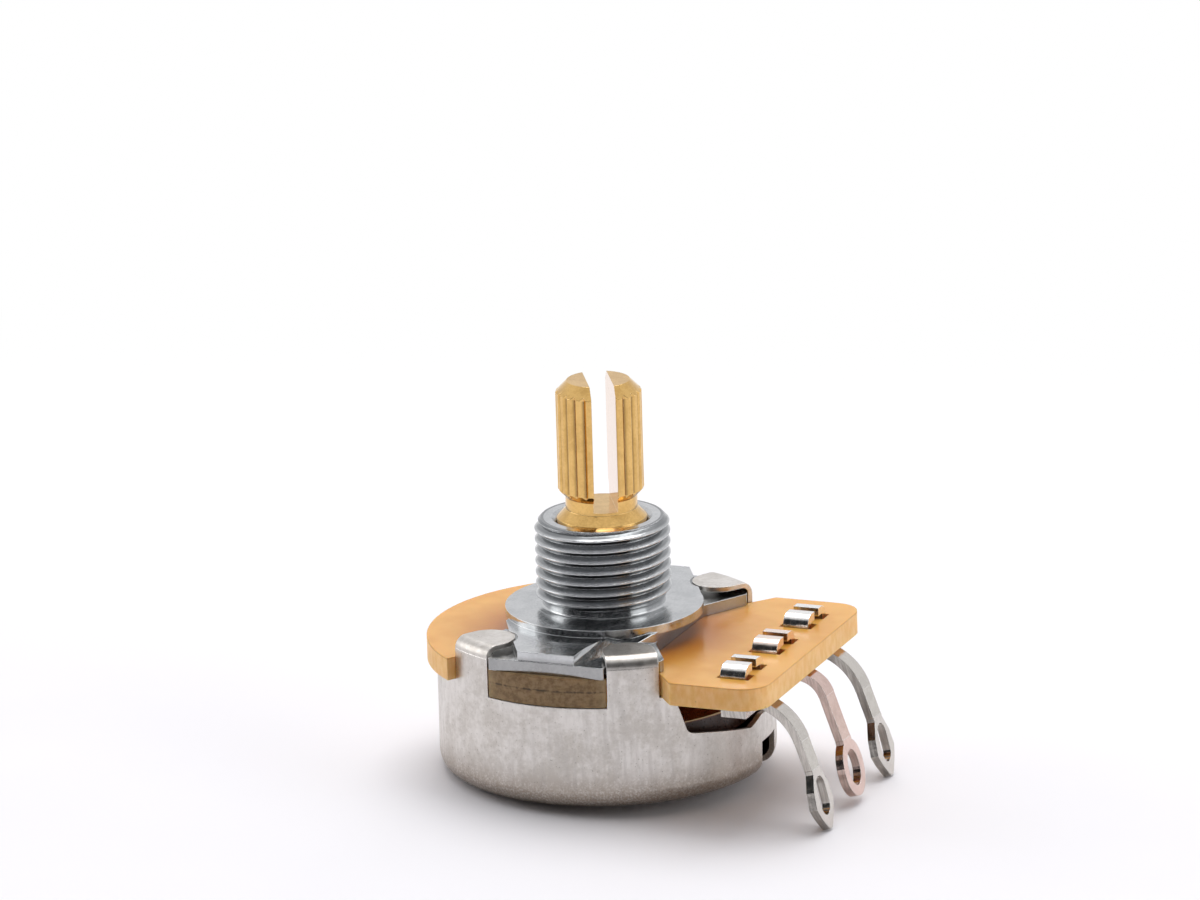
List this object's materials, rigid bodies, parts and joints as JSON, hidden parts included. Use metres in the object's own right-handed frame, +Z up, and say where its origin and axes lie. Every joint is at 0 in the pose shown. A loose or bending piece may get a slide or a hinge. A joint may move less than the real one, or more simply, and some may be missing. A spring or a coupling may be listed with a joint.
{
  "type": "rotary potentiometer",
  "caption": "Panel-mount rotary potentiometer with a threaded bushing, a split splined shaft, a round cover with folded tabs and bent solder lugs.",
  "frame": {"origin": "on the shaft axis, in the plane of the panel seat (the flange's top face)", "axes": "+Z up the shaft away from the cover, +X towards the terminals; the cover's back is at z = -11.55 mm"},
  "size_m": [0.0316, 0.0238, 0.0292],
  "materials": {
    "tinned_steel": "dull mottled tin over drawn steel sheet",
    "cast_zinc": "satin die-cast zinc",
    "turned_brass": "bright turned brass",
    "spring_steel": "plain spring steel",
    "phenolic_sheet": "satin phenolic sheet with fibrous cut edges",
    "carbon_ink": "printed carbon film",
    "silver_ink": "printed silver film",
    "tinned_brass": "bright tinned brass strip",
    "copper_alloy": "pink copper alloy strip",
    "moulded_phenolic": "brown moulded phenolic",
    "spring_bronze": "phosphor bronze spring sheet"
  },
  "bodies": {
    "housing": {"cover": "tinned_steel", "bushing_plate": "cast_zinc", "wafer": "phenolic_sheet", "resistive_track": "carbon_ink", "silver_pad_front": "silver_ink", "silver_pad_rear": "silver_ink", "terminal_front": "tinned_brass", "terminal_middle": "copper_alloy", "terminal_rear": "tinned_brass"},
    "spindle": {"shaft": "turned_brass", "retaining_clip": "spring_steel", "rotor": "moulded_phenolic", "contact_spring": "spring_bronze"}
  },
  "joints": [
    {"name": "shaft_turn", "type": "hinge", "parent": "housing", "child": "spindle", "pos_m": [0, 0, 0], "axis": [0, 0, 1], "range_deg": [-150, 150]}
  ]
}
